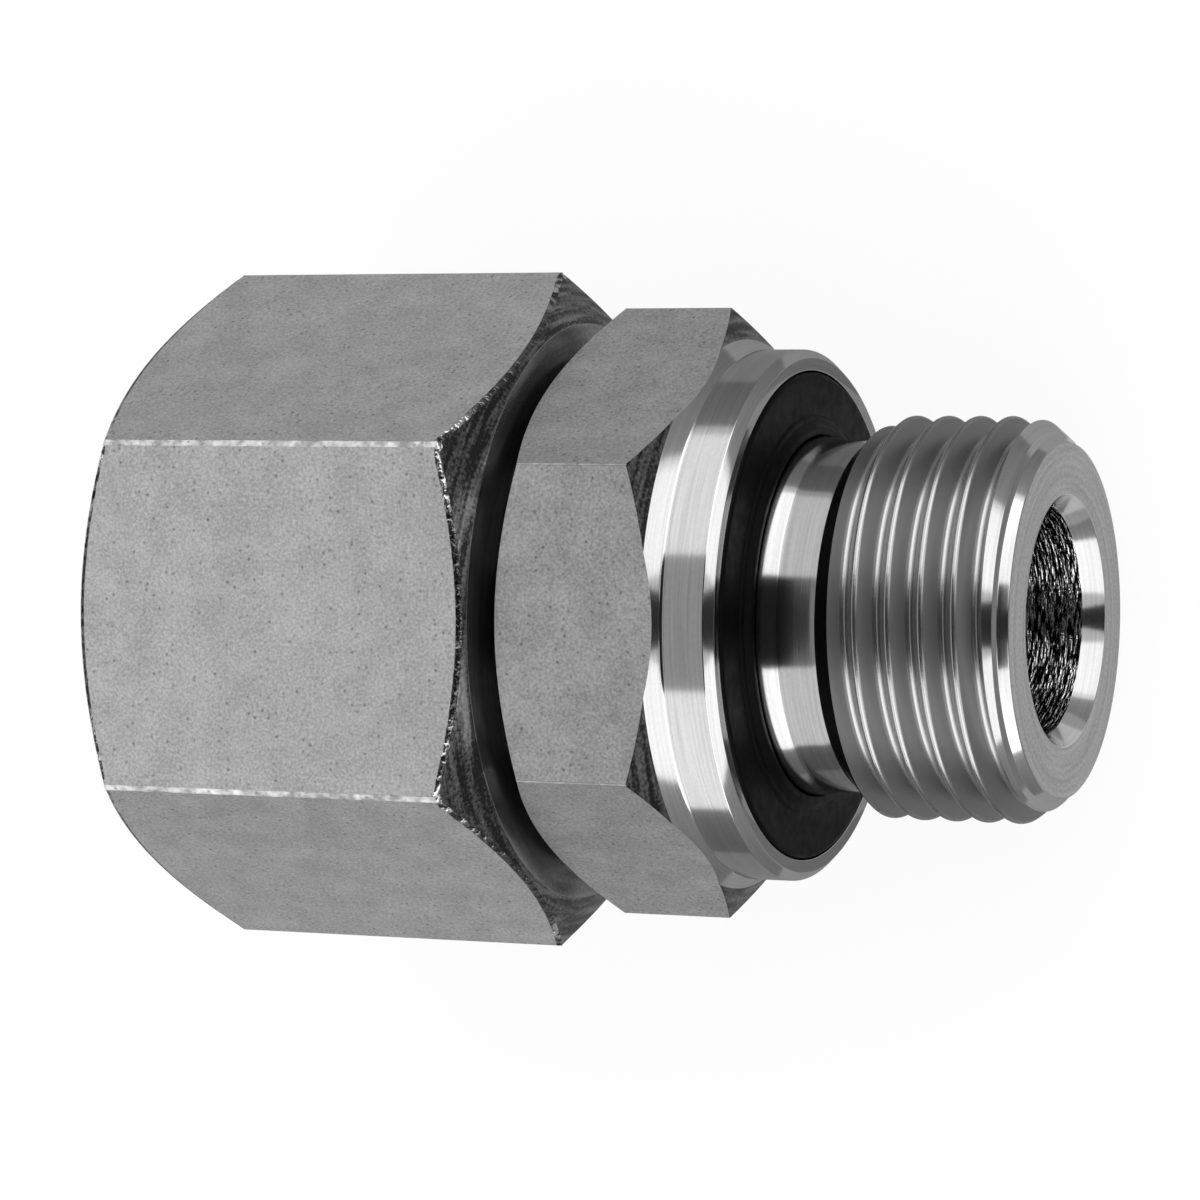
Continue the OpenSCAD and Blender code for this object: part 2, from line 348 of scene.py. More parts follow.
def plated_bar(name, dark, light, roughness, grain, relief=0.007, cloudy=0.2):
    """Matte zinc plating over drawn bar, with its grain and the grain's height in millimetres."""
    material, tree, shader, place = new_material(name)
    speckle = add(tree, "TexNoise", {"Vector": place, "Scale": per_mm(grain), "Detail": 3.0,
                                     "Roughness": 0.6})
    cloud = add(tree, "TexNoise", {"Vector": place, "Scale": per_mm(grain * CLOUD_GRAIN), "Detail": 2.0})
    spread = add(tree, "MapRange", {"Value": speckle.outputs["Fac"], "From Min": 0.32, "From Max": 0.68})
    drift = add(tree, "MapRange", {"Value": cloud.outputs["Fac"], "From Min": 0.3, "From Max": 0.7,
                                   "To Min": -cloudy, "To Max": cloudy})
    tone = add(tree, "Math", {0: spread.outputs["Result"], 1: drift.outputs["Result"]}, use_clamp=True)
    skin = add(tree, "Mix", {0: tone.outputs[0], 6: colour(dark), 7: colour(light)}, data_type="RGBA")
    pits = add(tree, "TexVoronoi", {"Vector": place, "Scale": per_mm(PIT_SPACING)})
    kind = add(tree, "SeparateColor", {"Color": pits.outputs["Color"]})
    few = add(tree, "MapRange", {"Value": kind.outputs["Red"], "From Min": 0.2, "From Max": 1.0})
    near = add(tree, "MapRange", {"Value": pits.outputs["Distance"], "From Min": 0.06, "From Max": 0.3,
                                  "To Min": 0.75, "To Max": 0.0})
    pit = add(tree, "Math", {0: near.outputs["Result"], 1: few.outputs["Result"]}, operation="MULTIPLY")
    mixed = add(tree, "Mix", {0: pit.outputs[0], 6: skin.outputs[2], 7: colour(PIT_COLOUR)},
                data_type="RGBA")
    slope = add(tree, "Bump", {"Height": speckle.outputs["Fac"], "Strength": 1.0, "Distance": relief * MM})
    tree.links.new(mixed.outputs[2], shader.inputs["Base Color"])
    tree.links.new(slope.outputs["Normal"], shader.inputs["Normal"])
    shader.inputs["Metallic"].default_value = 1.0
    shader.inputs["Roughness"].default_value = roughness
    return material


# %% [markdown]
# Where the milling cutter leaves a flat, it raises a thin burr along the curved edge. Its bumpy
# surface throws small glints, and its colour adds painted glints: bright speckles near the
# corners, dark along the middle. The angle about the axis says how near a corner is.

# %% Finish: the burr at a hexagon's curved edges, with painted glints
def burr_with_painted_glints(name, dark, light, roughness, grain, relief):
    """Burr plating with painted glints: bright speckles near the corners, dark elsewhere. Grain and relief
    are in millimetres.
    """
    material, tree, shader, place = new_material(name)
    split = add(tree, "SeparateXYZ", {"Vector": place})
    angle = add(tree, "Math", {0: split.outputs["Z"], 1: split.outputs["Y"]}, operation="ARCTAN2")
    corners = add(tree, "Math", {0: angle.outputs[0], 1: SIDES / (2 * math.pi)}, operation="MULTIPLY")
    apart = add(tree, "Math", {0: corners.outputs[0], 1: 0.5}, operation="PINGPONG")
    # Mask of the painted glints: full at a corner, faint towards the middle of an edge.
    near = add(tree, "MapRange", {"Value": apart.outputs[0], "From Min": 0.1, "From Max": 0.25,
                                  "To Min": 1.0, "To Max": 0.15})
    glint_noise = add(tree, "TexNoise", {"Vector": place, "Scale": per_mm(grain), "Detail": 2.0})
    spread = add(tree, "MapRange", {"Value": glint_noise.outputs["Fac"], "From Min": 0.42, "From Max": 0.58})
    tone = add(tree, "Math", {0: spread.outputs["Result"], 1: near.outputs["Result"]}, operation="MULTIPLY")
    mixed = add(tree, "Mix", {0: tone.outputs[0], 6: colour(dark), 7: colour(light)}, data_type="RGBA")
    slope = add(tree, "Bump", {"Height": glint_noise.outputs["Fac"], "Strength": 1.0, "Distance": relief * MM})
    tree.links.new(mixed.outputs[2], shader.inputs["Base Color"])
    tree.links.new(slope.outputs["Normal"], shader.inputs["Normal"])
    shader.inputs["Metallic"].default_value = 1.0
    shader.inputs["Roughness"].default_value = roughness
    return material


# %% [markdown]
# Turned faces carry the fine spiral that the lathe tool leaves. Their pattern depends on the
# place along the axis and on the distance from it, so it runs in rings on cylinders, cones
# and end faces alike. A little of the angle goes in as well, so that no ring is perfect.

# %% Finish: turned and plated steel
PLATING_GRAIN = 0.16    # millimetres


def turned_steel(name, dark, light, roughness, feed, depth, wander=0.02, grit=1.0, tones=(-0.25, 0.25)):
    """Steel with lathe marks, whose feed is their spacing and whose depth is their height, in
    millimetres. The tones are the heights, about the middle one, where it is dark and light."""
    material, tree, shader, place = new_material(name)
    split = add(tree, "SeparateXYZ", {"Vector": place})
    across = add(tree, "CombineXYZ", {"Y": split.outputs["Y"], "Z": split.outputs["Z"]})
    radius = add(tree, "VectorMath", {0: across.outputs["Vector"]}, operation="LENGTH")
    rings = add(tree, "CombineXYZ", {"X": split.outputs["X"], "Y": radius.outputs["Value"]})
    drift = add(tree, "VectorMath", {0: across.outputs["Vector"], 3: wander}, operation="SCALE")
    lathe_place = add(tree, "VectorMath", {0: rings.outputs["Vector"], 1: drift.outputs["Vector"]},
                      operation="ADD")
    marks = add(tree, "TexNoise", {"Vector": lathe_place.outputs["Vector"], "Scale": per_mm(feed),
                                   "Detail": 2.0})
    grains = add(tree, "TexNoise", {"Vector": place, "Scale": per_mm(PLATING_GRAIN), "Detail": 2.0})
    height = add(tree, "Math", {0: grains.outputs["Fac"], 1: grit, 2: marks.outputs["Fac"]},
                 operation="MULTIPLY_ADD")
    middle = (1 + grit) / 2
    tone = add(tree, "MapRange", {"Value": height.outputs[0], "From Min": middle + tones[0],
                                  "From Max": middle + tones[1]})
    mixed = add(tree, "Mix", {0: tone.outputs["Result"], 6: colour(dark), 7: colour(light)},
                data_type="RGBA")
    slope = add(tree, "Bump", {"Height": height.outputs[0], "Strength": 1.0, "Distance": depth * MM})
    tree.links.new(mixed.outputs[2], shader.inputs["Base Color"])
    tree.links.new(slope.outputs["Normal"], shader.inputs["Normal"])
    shader.inputs["Metallic"].default_value = 1.0
    shader.inputs["Roughness"].default_value = roughness
    return material


# %% [markdown]
# A rolled thread is pressed, not cut. The dies burnish its round crests and roots, which
# draw thin bright lines, and leave the flanks a little duller. The distance from the axis
# tells them apart.

# %% Finish: rolled thread
BURNISHED = (0.16, 0.08)    # from a crest or root, where the burnish begins and is full


def rolled_thread(name, flank, bright, root_r, crest_r):
    """Plated thread with dull flanks between a burnished root and crest. Radii are in millimetres."""
    material, tree, shader, place = new_material(name)
    split = add(tree, "SeparateXYZ", {"Vector": place})
    across = add(tree, "CombineXYZ", {"Y": split.outputs["Y"], "Z": split.outputs["Z"]})
    radius = add(tree, "VectorMath", {0: across.outputs["Vector"]}, operation="LENGTH")
    dull, shiny = BURNISHED
    crest = add(tree, "MapRange", {"Value": radius.outputs["Value"], "From Min": (crest_r - dull) * MM,
                                   "From Max": (crest_r - shiny) * MM})
    root = add(tree, "MapRange", {"Value": radius.outputs["Value"], "From Min": (root_r + dull) * MM,
                                  "From Max": (root_r + shiny) * MM})
    polished = add(tree, "Math", {0: crest.outputs["Result"], 1: root.outputs["Result"]},
                   operation="MAXIMUM")
    mixed = add(tree, "Mix", {0: polished.outputs[0], 6: colour(flank), 7: colour(bright)}, data_type="RGBA")
    gloss = add(tree, "MapRange", {"Value": polished.outputs[0], "To Min": 0.38, "To Max": 0.26})
    tree.links.new(mixed.outputs[2], shader.inputs["Base Color"])
    tree.links.new(gloss.outputs["Result"], shader.inputs["Roughness"])
    shader.inputs["Metallic"].default_value = 1.0
    return material


# %% [markdown]
# The sealing ring and the O-ring are moulded nitrile rubber: near black, with a soft sheen
# that breaks up where the surface is faintly uneven.

# %% Finish: moulded rubber
MOTTLE = 0.7            # millimetres across an uneven patch
MOTTLE_HEIGHT = 0.03    # millimetres
GLOSS_DRIFT = 0.12      # how far the roughness drifts either way


def moulded_rubber(name, dark, light, roughness):
    """Black rubber with an uneven soft gloss."""
    material, tree, shader, place = new_material(name)
    mottle = add(tree, "TexNoise", {"Vector": place, "Scale": per_mm(MOTTLE), "Detail": 4.0,
                                    "Roughness": 0.6})
    mixed = add(tree, "Mix", {0: mottle.outputs["Fac"], 6: colour(dark), 7: colour(light)}, data_type="RGBA")
    gloss = add(tree, "MapRange", {"Value": mottle.outputs["Fac"], "From Min": 0.3, "From Max": 0.7,
                                   "To Min": roughness - GLOSS_DRIFT, "To Max": roughness + GLOSS_DRIFT})
    slope = add(tree, "Bump", {"Height": mottle.outputs["Fac"], "Strength": 0.4,
                               "Distance": MOTTLE_HEIGHT * MM})
    tree.links.new(mixed.outputs[2], shader.inputs["Base Color"])
    tree.links.new(gloss.outputs["Result"], shader.inputs["Roughness"])
    tree.links.new(slope.outputs["Normal"], shader.inputs["Normal"])
    shader.inputs["Specular IOR Level"].default_value = 0.06
    return material


# %% [markdown]
# The finishes are made once and shared. The broken edges of the hexagons have their own:
# there the plating is rubbed smoother and brighter than on the flats. The bevels beside the
# collar, at the stud's nose and in the bore's mouth take a brighter copy of the turned finish,
# a painted highlight on the faces that lean towards +X. The neck takes a darker copy, painted
# shade in its recess between the collar and the thread. The drilled bore is rough, so it
# glitters, and its colour runs from near black to near white: painted shade in the bore with
# painted glints.

# %% Make the finishes
zinc_flat = plated_bar("Zinc plated drawn bar", "#b0b0b0", "#dadada", roughness=0.42, grain=0.13)
zinc_bar = plated_bar("Zinc plated drawn bar, darker", "#a0a0a0", "#cccccc", roughness=0.42, grain=0.13)
zinc_edge = plated_bar("Zinc plated bar, rubbed edge", "#808080", "#cacaca", roughness=0.42, grain=0.5,
                       cloudy=0.25)
zinc_dull_edge = plated_bar("Zinc plated bar, dull edge", "#7c7c7c", "#9c9c9c", roughness=0.5, grain=0.35)
# Its colour carries painted glints, bright near the corners.
zinc_burr_painted_glints = burr_with_painted_glints("Zinc plated burr, painted glints", "#4c4c4c", "#e0e0e0", roughness=0.2, grain=0.4, relief=0.15)
zinc_turned = turned_steel("Zinc plated steel, turned", "#9e9e9e", "#b2b2b2", roughness=0.12, feed=0.10,
                           depth=0.0005, grit=0.3)
zinc_chamfer = turned_steel("Zinc plated steel, rough turned chamfer", "#404040", "#aaaaaa", roughness=0.25,
                            feed=0.3, depth=0.006, wander=0.1, grit=0.6, tones=(-0.1, 0.25))
zinc_face = turned_steel("Zinc plated steel, faced end", "#989898", "#c0c0c0", roughness=0.25, feed=0.3,
                         depth=0.002, wander=0.05)
# A darker copy of the turned finish: painted shade on the neck, in its recess between collar and thread.
zinc_neck_painted_shade = turned_steel("Zinc plated steel, turned neck, painted shade", "#828282", "#949494", roughness=0.12, feed=0.10,
                         depth=0.0006, grit=0.3)
# A brighter copy of the turned finish: painted highlight for the bevels that lean towards +X.
zinc_bevel_painted_highlight = turned_steel("Zinc plated steel, bevel with painted highlight", "#cccccc", "#dedede", roughness=0.12,
                          feed=0.10, depth=0.0005, grit=0.3)
zinc_thread = rolled_thread("Zinc plated steel, rolled thread", "#969696", "#a8a8a8", STUD_ROOT_R, STUD_R)
zinc_nut_thread = turned_steel("Zinc plated steel, cut thread", "#9c9c9c", "#b2b2b2", roughness=0.18,
                               feed=0.3, depth=0.0006, grit=0.2)
# Near black to near white: painted shade in the bore with painted glints; its deep bump glitters too.
steel_bore_painted_shade_and_glints = turned_steel("Drilled steel bore, painted shade and glints", "#141414", "#f8f8f8", roughness=0.12, feed=0.11, depth=0.09,
                          wander=0.17, grit=0.25, tones=(-0.06, 0.14))
spring_wire = turned_steel("Drawn spring wire", "#5b5b5d", "#6b6b6d", roughness=0.3, feed=0.2, depth=0.001)
nitrile = moulded_rubber("Moulded nitrile rubber", "#030304", "#0a0a0b", roughness=0.38)
print("materials:", len(bpy.data.materials))

# %% [markdown]
# The body is one piece of steel. Its outline runs from the coned nose, over the spigot that
# the nut turns on, the hexagon blank, the collar with its sealing groove, the neck and the
# stud, and back through the bore.

# %% Turn the body's blank
CONE_R = 8.5
CONE_SLOPE = math.tan(math.radians(12))
CONE_LEN = 8.5
TIP_CHAMFER = 0.5
WIRE_GROOVE = (1.7, 7.23)      # width and floor radius
O_GROOVE = (2.0, 6.775)
SEAL_GROOVE_DEPTH = 2.0
SEAL_GROOVE_R = 11.0
SEAL_LAND = (0.5, 8.05)        # end and radius of the land that the seal grips
BODY_FACE_R = 11.5
COLLAR_GROOVE = (12.4, 11.72)  # radii where the turning groove beside the collar starts and ends
GROOVE_STEPS = (0.66, 0.86, 0.9)    # from its start to where its floor begins and ends, and the collar
COLLAR_CHAMFER = 0.38
NECK_FILLET = ((0.85, 8.03), (1.15, 7.96), (1.4, 7.915))   # the fillet from the land to the neck
NECK_TAPER = ((1.6, 7.898), (2.2, 7.885), (2.9, 7.871))     # the neck, a little waisted
NECK_LEN = 3.2
STUD_NOSE = ((-1.4, 9.0), (-0.6, 8.33), (-0.46, 8.07), (0, 7.85))   # from the end, and radius
MOUTH = (0.9, 5.575)           # depth and radius of the countersink
BORE_EDGE = 0.3                # broken edge of the bore at the tip
# A face whose normal leans to +X within these bounds takes the painted highlight.
PAINTED_HIGHLIGHT_TILT = (0.35, 0.97)      # how far a bevel's normal leans to +X, at least and at most

x_cone = x_tip + CONE_LEN
x_tip_edge = x_tip + TIP_CHAMFER
body_blank_r = blank_radius(BODY_ACROSS)
x_groove = x_collar - (COLLAR_GROOVE[0] - COLLAR_R) * CHAMFER
wire_start, wire_end = x_wire - WIRE_GROOVE[0] / 2, x_wire + WIRE_GROOVE[0] / 2
o_ring_start, o_ring_end = x_o_ring - O_GROOVE[0] / 2, x_o_ring + O_GROOVE[0] / 2


def cone_r(x):
    """Radius of the sealing cone at a place along the axis."""
    return CONE_R - (x_cone - x) * CONE_SLOPE


spigot = [
    (x_tip, BORE_R + BORE_EDGE), (x_tip, cone_r(x_tip) - TIP_CHAMFER, 0.1),
    (x_tip_edge, cone_r(x_tip_edge), 0.2),
    (o_ring_start, cone_r(o_ring_start), 0.1), (o_ring_start, O_GROOVE[1], 0.2),
    (o_ring_end, O_GROOVE[1], 0.2), (o_ring_end, cone_r(o_ring_end), 0.1),
    (x_cone, CONE_R), (x_cone + SPIGOT_R - CONE_R, SPIGOT_R, 0.1),
    (wire_start, SPIGOT_R, 0.05), (wire_start, WIRE_GROOVE[1], 0.3),
    (wire_end, WIRE_GROOVE[1], 0.3), (wire_end, SPIGOT_R, 0.05),
    (x_hex, SPIGOT_R, 0.15)]
hexagon = [
    (x_hex, BODY_FACE_R, 0.08),
    (x_hex + (body_blank_r - BODY_FACE_R) * CHAMFER, body_blank_r),
    (x_collar - (body_blank_r - COLLAR_R) * CHAMFER, body_blank_r),
    (x_groove, COLLAR_GROOVE[0], 0.1), (x_groove + GROOVE_STEPS[0], COLLAR_GROOVE[1], 0.2),
    (x_groove + GROOVE_STEPS[1], COLLAR_GROOVE[1], 0.05), (x_groove + GROOVE_STEPS[2], COLLAR_R, 0.04)]
collar = [
    (-COLLAR_CHAMFER, COLLAR_R, 0.08), (0, COLLAR_R - COLLAR_CHAMFER, 0.06), (0, SEAL_GROOVE_R, 0.06),
    (-SEAL_GROOVE_DEPTH, SEAL_GROOVE_R), (-SEAL_GROOVE_DEPTH, SEAL_LAND[1]), SEAL_LAND]
collar += NECK_FILLET + NECK_TAPER
stud = [
    (NECK_LEN, NECK_TAPER[-1][1], 0.15), (NECK_LEN + STUD_R - NECK_R, STUD_R, 0.3),
    *((x_stud_end + x, r, 0.08) for x, r in STUD_NOSE), (x_stud_end, MOUTH[1], 0.05),
    (x_stud_end - MOUTH[0], BORE_R, 0.1), (x_tip + BORE_EDGE, BORE_R)]

body = draw_outline("fitting_body_turned", spigot + hexagon + collar + stud)
for material in (zinc_turned, zinc_bar, zinc_dull_edge, zinc_chamfer, steel_bore_painted_shade_and_glints, zinc_neck_painted_shade, zinc_face,
                 zinc_bevel_painted_highlight):
    body.data.materials.append(material)
turn(steps=TURN_STEPS)
# Faces leaning towards +X take the brighter finish, a painted highlight.
give_slot(body, SLOT_BEVEL_PAINTED_HIGHLIGHT, lambda place, normal: PAINTED_HIGHLIGHT_TILT[0] < normal.x < PAINTED_HIGHLIGHT_TILT[1] and
          place.x > x_groove and place.yz.length > BORE_R + NEAR)
count(body)

# %% Mill the body's hexagon and cut the stud's thread
STUD_PITCH = 1.5
THREAD_FLANK = math.tan(math.radians(30))
THREAD_ROUND = 0.19             # radius of the stud's crests and roots
CREST_DROP = 0.03               # how far the crests stay inside the stud's radius
TOOL_REACH = 0.3                # how far a thread tool reaches past the crests
THREAD_PHASE = 7.61             # place of a groove on the side that faces up


def stud_groove():
    """Section of the stud's groove: rolled, with a round root, 60 degree flanks and round crests."""
    root = arc(0, STUD_ROOT_R + THREAD_ROUND, THREAD_ROUND, -80, -30)
    crest = arc(STUD_PITCH / 2, STUD_R - THREAD_ROUND - CREST_DROP, THREAD_ROUND, 150, 95)
    side = root + crest + [(crest[-1][0], STUD_R + TOOL_REACH)]
    return [(-x, r) for x, r in reversed(side)] + side


cut_thread(body, stud_groove(), THREAD_PHASE - 4 * STUD_PITCH, STUD_PITCH, turns=8, material=zinc_thread)
bpy.ops.object.mode_set(mode="EDIT")
mill_flats(BODY_ACROSS)
give_slot(body, SLOT_FLAT, lambda place, normal: abs(normal.x) < NEAR and
          place.yz.length > BODY_ACROSS / 2 - NEAR and x_hex < place.x < x_collar)
# The bore takes the finish with painted shade and painted glints.
give_slot(body, SLOT_BORE_PAINTED_SHADE_AND_GLINTS, lambda place, normal: place.yz.length < BORE_R + NEAR and
          place.x < x_stud_end - MOUTH[0])
# The neck takes the darker finish, painted shade in its recess.
give_slot(body, SLOT_NECK_PAINTED_SHADE, lambda place, normal: NECK_FILLET[-1][0] < place.x < NECK_LEN and
          NECK_TAPER[-1][1] - 2 * NEAR < place.yz.length < NECK_FILLET[0][1])
give_slot(body, SLOT_END, lambda place, normal: abs(normal.x) > 1 - NEAR and
          place.yz.length > MOUTH[1] and (abs(place.x - x_hex) < NEAR or place.x > x_stud_end - NEAR))
give_slot(body, SLOT_CHAMFER, is_chamfer)
bevel_edges(body, between_flats, edge_radius_width(BODY_ACROSS, body_high.y), SLOT_EDGE)
smooth(body)
count(body)

# %% [markdown]
# The union nut is bored with a thread at its mouth, a relief groove where the thread tool
# runs out, a 45 degree shoulder, and a plain bore that turns on the body's spigot.

# %% Turn, mill and thread the union nut
NUT_BACK_R = 13.15
NUT_MOUTH_R = 12.8
NUT_PITCH = 1.5
NUT_MINOR_R = 10.188
NUT_MAJOR_R = 11.05
NUT_RELIEF_R = 11.15
NUT_THREAD_LEN = 11.3
NUT_RELIEF_W = 1.5
NUT_ENTRY_R = 11.35             # where the thread's lead-in starts at the mouth
NUT_ROOT_HALF = 0.094           # half the width of a thread's root
NUT_CREST_EDGE = 0.05           # height of the broken edge of a crest
NUT_CREST_HALF = (0.68, 0.7)    # half widths of the tool at and behind the crests
NUT_BACK_EDGE = 0.25
WIRE_HALF = 0.9                 # half the width of the nut's groove for the wire
WIRE_SPARE = 0.05               # between the wire and the groove's floor
BURR_WIDTH = 0.17

nut_across = 2 * nut_high.z
nut_blank_r = blank_radius(nut_across)
x_thread_end = x_mouth + NUT_THREAD_LEN
x_shoulder = x_thread_end + NUT_RELIEF_W
nut_groove_r = wire_high.y + WIRE_SPARE
nut_outline = [
    (x_mouth, NUT_ENTRY_R, 0.1), (x_mouth, NUT_MOUTH_R, 0.08),
    (x_mouth + (nut_blank_r - NUT_MOUTH_R) * CHAMFER, nut_blank_r),
    (x_back - (nut_blank_r - NUT_BACK_R) * CHAMFER, nut_blank_r),
    (x_back, NUT_BACK_R, 0.08), (x_back, nut_bore_r + NUT_BACK_EDGE, 0.05),
    (x_back - NUT_BACK_EDGE, nut_bore_r),
    (x_wire + WIRE_HALF, nut_bore_r), (x_wire + WIRE_HALF, nut_groove_r, 0.3),
    (x_wire - WIRE_HALF, nut_groove_r, 0.3), (x_wire - WIRE_HALF, nut_bore_r),
    (x_shoulder + NUT_RELIEF_R - nut_bore_r, nut_bore_r), (x_shoulder, NUT_RELIEF_R, 0.2),
    (x_thread_end, NUT_RELIEF_R, 0.2), (x_thread_end, NUT_MINOR_R),
    (x_mouth + NUT_ENTRY_R - NUT_MINOR_R, NUT_MINOR_R)]


def nut_groove():
    """Section of the nut's groove, which opens towards the axis."""
    wide = NUT_ROOT_HALF + (NUT_MAJOR_R - NUT_MINOR_R - NUT_CREST_EDGE) * THREAD_FLANK
    side = [(NUT_ROOT_HALF, NUT_MAJOR_R), (wide, NUT_MINOR_R + NUT_CREST_EDGE),
            (NUT_CREST_HALF[0], NUT_MINOR_R - NEAR), (NUT_CREST_HALF[1], NUT_MINOR_R - TOOL_REACH)]
    return [(-x, r) for x, r in reversed(side)] + side


nut = draw_outline("union_nut_turned", nut_outline)
for material in (zinc_turned, zinc_flat, zinc_edge, zinc_chamfer, zinc_burr_painted_glints, zinc_face):
    nut.data.materials.append(material)
turn(steps=TURN_STEPS)
cut_thread(nut, nut_groove(), x_thread_end + NUT_RELIEF_W / 2 - 9 * NUT_PITCH, NUT_PITCH, turns=9,
           material=zinc_nut_thread)
bpy.ops.object.mode_set(mode="EDIT")
mill_flats(nut_across)
give_slot(nut, SLOT_FLAT, lambda place, normal: abs(normal.x) < NEAR and
          place.yz.length > nut_across / 2 - NEAR)
give_slot(nut, SLOT_BACK, lambda place, normal: abs(normal.x) > 1 - NEAR and
          not x_mouth + NEAR < place.x < x_back - NEAR)
give_slot(nut, SLOT_CHAMFER, is_chamfer)
bevel_edges(nut, between_flats, edge_radius_width(nut_across, nut_high.y), SLOT_EDGE)
# The curved edges take the burr finish with its painted glints.
bevel_edges(nut, at_chamfer, BURR_WIDTH, SLOT_BURR_PAINTED_GLINTS)
smooth(nut)
count(nut)

# %% [markdown]
# The sealing ring is moulded with a flat that meets the port and a raised inner lip that
# grips the stud. It is spun from its own section, with soft edges.

# %% Turn the sealing ring
SEAL_STEPS = 144        # steps round the ring
SEAL_SPARE = 0.05       # between the ring and the land that it grips
SEAL_TOP = 0.1          # how far its flat stands out of the collar's face

seal_inner, seal_outer = SEAL_LAND[1] + SEAL_SPARE, seal_high.y
seal = draw_outline("stud_seal_moulded", [
    (seal_low.x, seal_inner, 0.1), (seal_high.x, seal_inner, 0.12), (seal_high.x, seal_inner + 0.36, 0.15),
    (SEAL_TOP + 0.12, seal_inner + 0.62, 0.1), (SEAL_TOP + 0.12, seal_inner + 0.84, 0.06),
    (SEAL_TOP, seal_inner + 0.94, 0.06), (SEAL_TOP - 0.04, seal_inner + 1.9), (SEAL_TOP, seal_outer, 0.25),
    (seal_low.x, seal_outer, 0.1)])
seal.data.materials.append(nitrile)
turn(steps=SEAL_STEPS)
smooth(seal)
count(seal)

# %% [markdown]
# Each new piece stands for its solid and rides on the solid's body, so the nut turns with
# its joint. The wire ring and the O-ring keep their solids and only take a finish.

# %% Tie the pieces to the frame
for piece, solid, part_body, finish in (
        (body, "fitting_body", "body", "body_steel"),
        (nut, "swivel_nut", "nut", "nut_steel"),
        (seal, "stud_seal", "body", "seal_rubber")):
    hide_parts(solid)
    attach(piece, part_body)

for solid, material in (("retaining_ring", spring_wire), ("cone_o_ring", nitrile)):
    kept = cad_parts[solid]
    kept.data.materials.clear()
    kept.data.materials.append(material)

# %% [markdown]
# The camera stands where the photographer stood, a little right of the fitting and high
# above it. The lens is long, so the perspective is gentle.

# %% Camera
CAMERA_PLACE = Vector((79.03, 10.11, 203.99))       # millimetres, in the fitting's frame
CAMERA_TURN = (-2.433, 23.676, 0.094)               # degrees about X, Y and Z
PICTURE_WIDTH = 1200                                # pixels
FOCAL_PIXELS = 4864
SENSOR = 36.0                                       # millimetres

camera_data = bpy.data.cameras.new("camera")
camera_data.sensor_width = SENSOR
camera_data.lens = FOCAL_PIXELS / PICTURE_WIDTH * SENSOR
camera_data.clip_start = 0.01
camera = bpy.data.objects.new("camera", camera_data)
camera.location = CAMERA_PLACE * MM
camera.rotation_euler = [math.radians(angle) for angle in CAMERA_TURN]
bpy.context.scene.collection.objects.link(camera)
bpy.context.scene.camera = camera
print(f"lens {camera_data.lens:.1f} mm")

# %% [markdown]
# Bare metal shows what stands round it, so the studio matters as much as the finish. Soft
# boxes hang along the fitting on both sides, each side in three lengths. A pale grey card
# glows softly overhead between them. Their edges give the bright and grey bands on every
# round part. The middle lengths are the brightest, for the neck's fillet looks there. The
# right lengths are dim, so that the flats keep their grain when seen from behind.
#
# Cards in greys lie and stand round the fitting, and only reflections see them. They draw
# the faces that turn that way: the upper and lower flats, the chamfers and the end faces.
# The world is white to the camera and in reflections, and a little dimmer as light.

# %% Studio
def facing(back):
    """A turn that points -Z at the fitting and keeps X along the fitting's axis."""
    side = (Vector((1, 0, 0)) - back * back.x).normalized()
    up = back.cross(side)
    return Matrix((side, up, back)).transposed().to_4x4()


def seen_rays(tree):
    """A socket that is one for camera, glossy and transmission rays, and zero for all others."""
    rays = add(tree, "LightPath")
    seen = add(tree, "Math", {0: rays.outputs["Is Camera Ray"], 1: rays.outputs["Is Glossy Ray"]},
               operation="MAXIMUM")
    through = add(tree, "Math", {0: seen.outputs[0], 1: rays.outputs["Is Transmission Ray"]},
                  operation="MAXIMUM")
    return through.outputs[0]


def soft_box(name, angle, x_from, x_to, height, level):
    """An area lamp along the fitting, at an angle from straight up towards +Y. Sizes are in metres."""
    data = bpy.data.lights.new(name, "AREA")
    data.shape = "RECTANGLE"
    data.size, data.size_y = x_to - x_from, height
    data.energy = level * LAMP_POWER * data.size * data.size_y
    back = Vector((0, math.sin(math.radians(angle)), math.cos(math.radians(angle))))
    lamp = bpy.data.objects.new(name, data)
    middle = back * BOX_DISTANCE + Vector(((x_from + x_to) / 2, 0, 0))
    lamp.matrix_world = Matrix.Translation(middle) @ facing(back)
    lamp.visible_camera = False
    bpy.context.scene.collection.objects.link(lamp)


def card(name, shade, place, size, lean, lit=False):
    """A card that only reflections see. The lean turns it about Y, in degrees. A lit one glows."""
    bpy.ops.object.select_all(action="DESELECT")
    bpy.ops.mesh.primitive_plane_add(size=1, location=place, rotation=(0, math.radians(lean), 0))
    made = bpy.context.object
    made.name = name
    made.scale = (*size, 1)
    made.visible_camera = made.visible_diffuse = made.visible_shadow = False
    paint = bpy.data.materials.new(name)
    paint.use_nodes = True
    shader = paint.node_tree.nodes["Principled BSDF"]
    shader.inputs["Base Color"].default_value = colour(shade)
    shader.inputs["Roughness"].default_value = 0.9
    if lit:
        shader.inputs["Base Color"].default_value = (0, 0, 0, 1)
        shader.inputs["Specular IOR Level"].default_value = 0
        shader.inputs["Emission Color"].default_value = colour(shade)
        shader.inputs["Emission Strength"].default_value = 1.0
    made.data.materials.append(paint)


